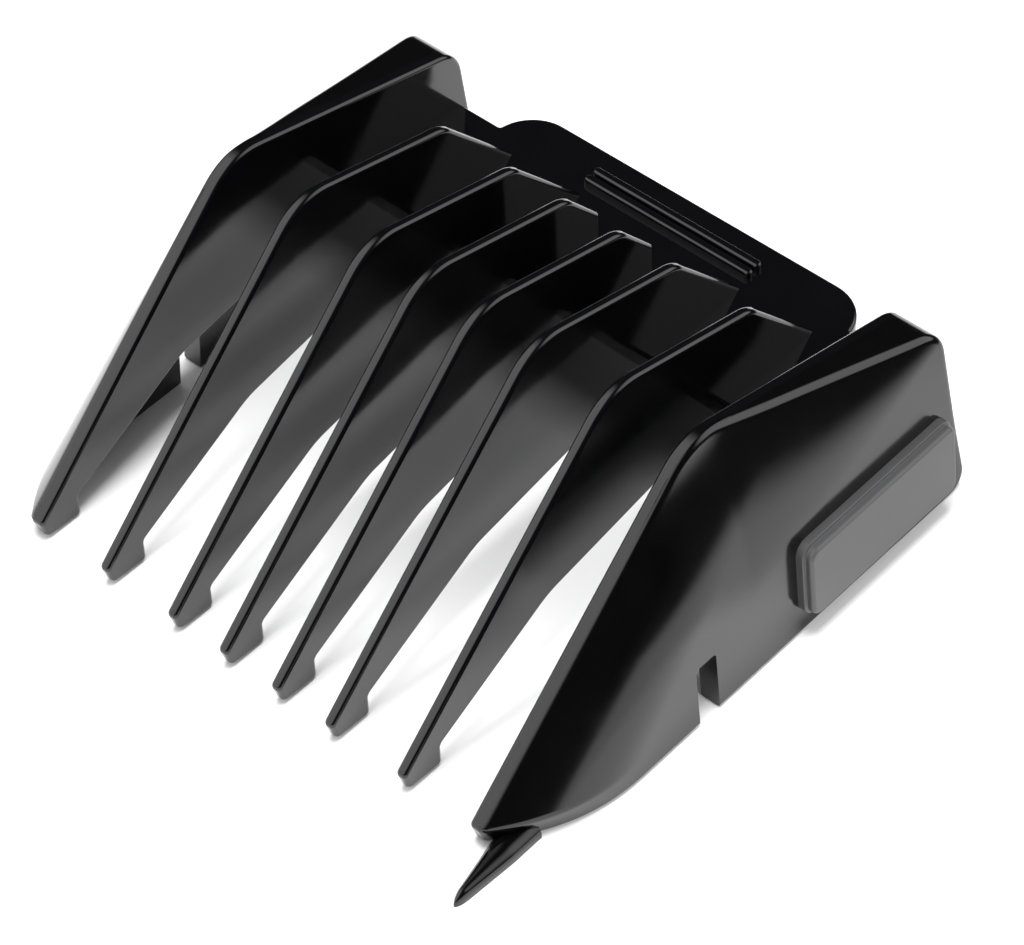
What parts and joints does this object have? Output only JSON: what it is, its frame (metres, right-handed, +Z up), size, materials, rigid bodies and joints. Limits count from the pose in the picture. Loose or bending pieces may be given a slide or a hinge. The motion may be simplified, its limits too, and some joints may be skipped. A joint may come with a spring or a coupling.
{
  "type": "clipper guide comb",
  "caption": "Clip-on guide comb for a hair clipper: hooked teeth on a rear deck between two rounded side skirts, with a thumb tab that flexes to release it.",
  "frame": {"origin": "middle of the comb's footprint, on the surface that it stands on", "axes": "+X across the teeth to the side that carries the prong, +Y from the tooth tips to the thumb tab, +Z up from the hooks and skirts' lower edges"},
  "size_m": [0.0544, 0.053, 0.0218],
  "materials": {
    "comb_plastic": "high gloss, moulded",
    "wall_plastic": "high gloss, moulded",
    "pad_plastic": "satin, moulded"
  },
  "bodies": {
    "comb": {"deck": "comb_plastic", "tooth_1": "comb_plastic", "tooth_2": "comb_plastic", "tooth_3": "comb_plastic", "tooth_4": "comb_plastic", "tooth_5": "comb_plastic", "tooth_6": "comb_plastic", "edge_tooth_left": "comb_plastic", "edge_tooth_right": "comb_plastic", "cheek_left": "wall_plastic", "cheek_right": "wall_plastic", "pad_left": "pad_plastic", "pad_right": "pad_plastic", "tip_prong": "wall_plastic"},
    "release_tab": {"thumb_tab": "comb_plastic", "front_ridge": "comb_plastic", "rear_ridge": "comb_plastic", "tab_catch": "comb_plastic"}
  },
  "joints": [
    {"name": "tab_flex", "type": "hinge", "parent": "comb", "child": "release_tab", "pos_m": [0, 0.0225, 0.0103], "axis": [1, 0, 0], "range_deg": [0, 6], "stiffness_Nm_per_rad": 0.1}
  ]
}
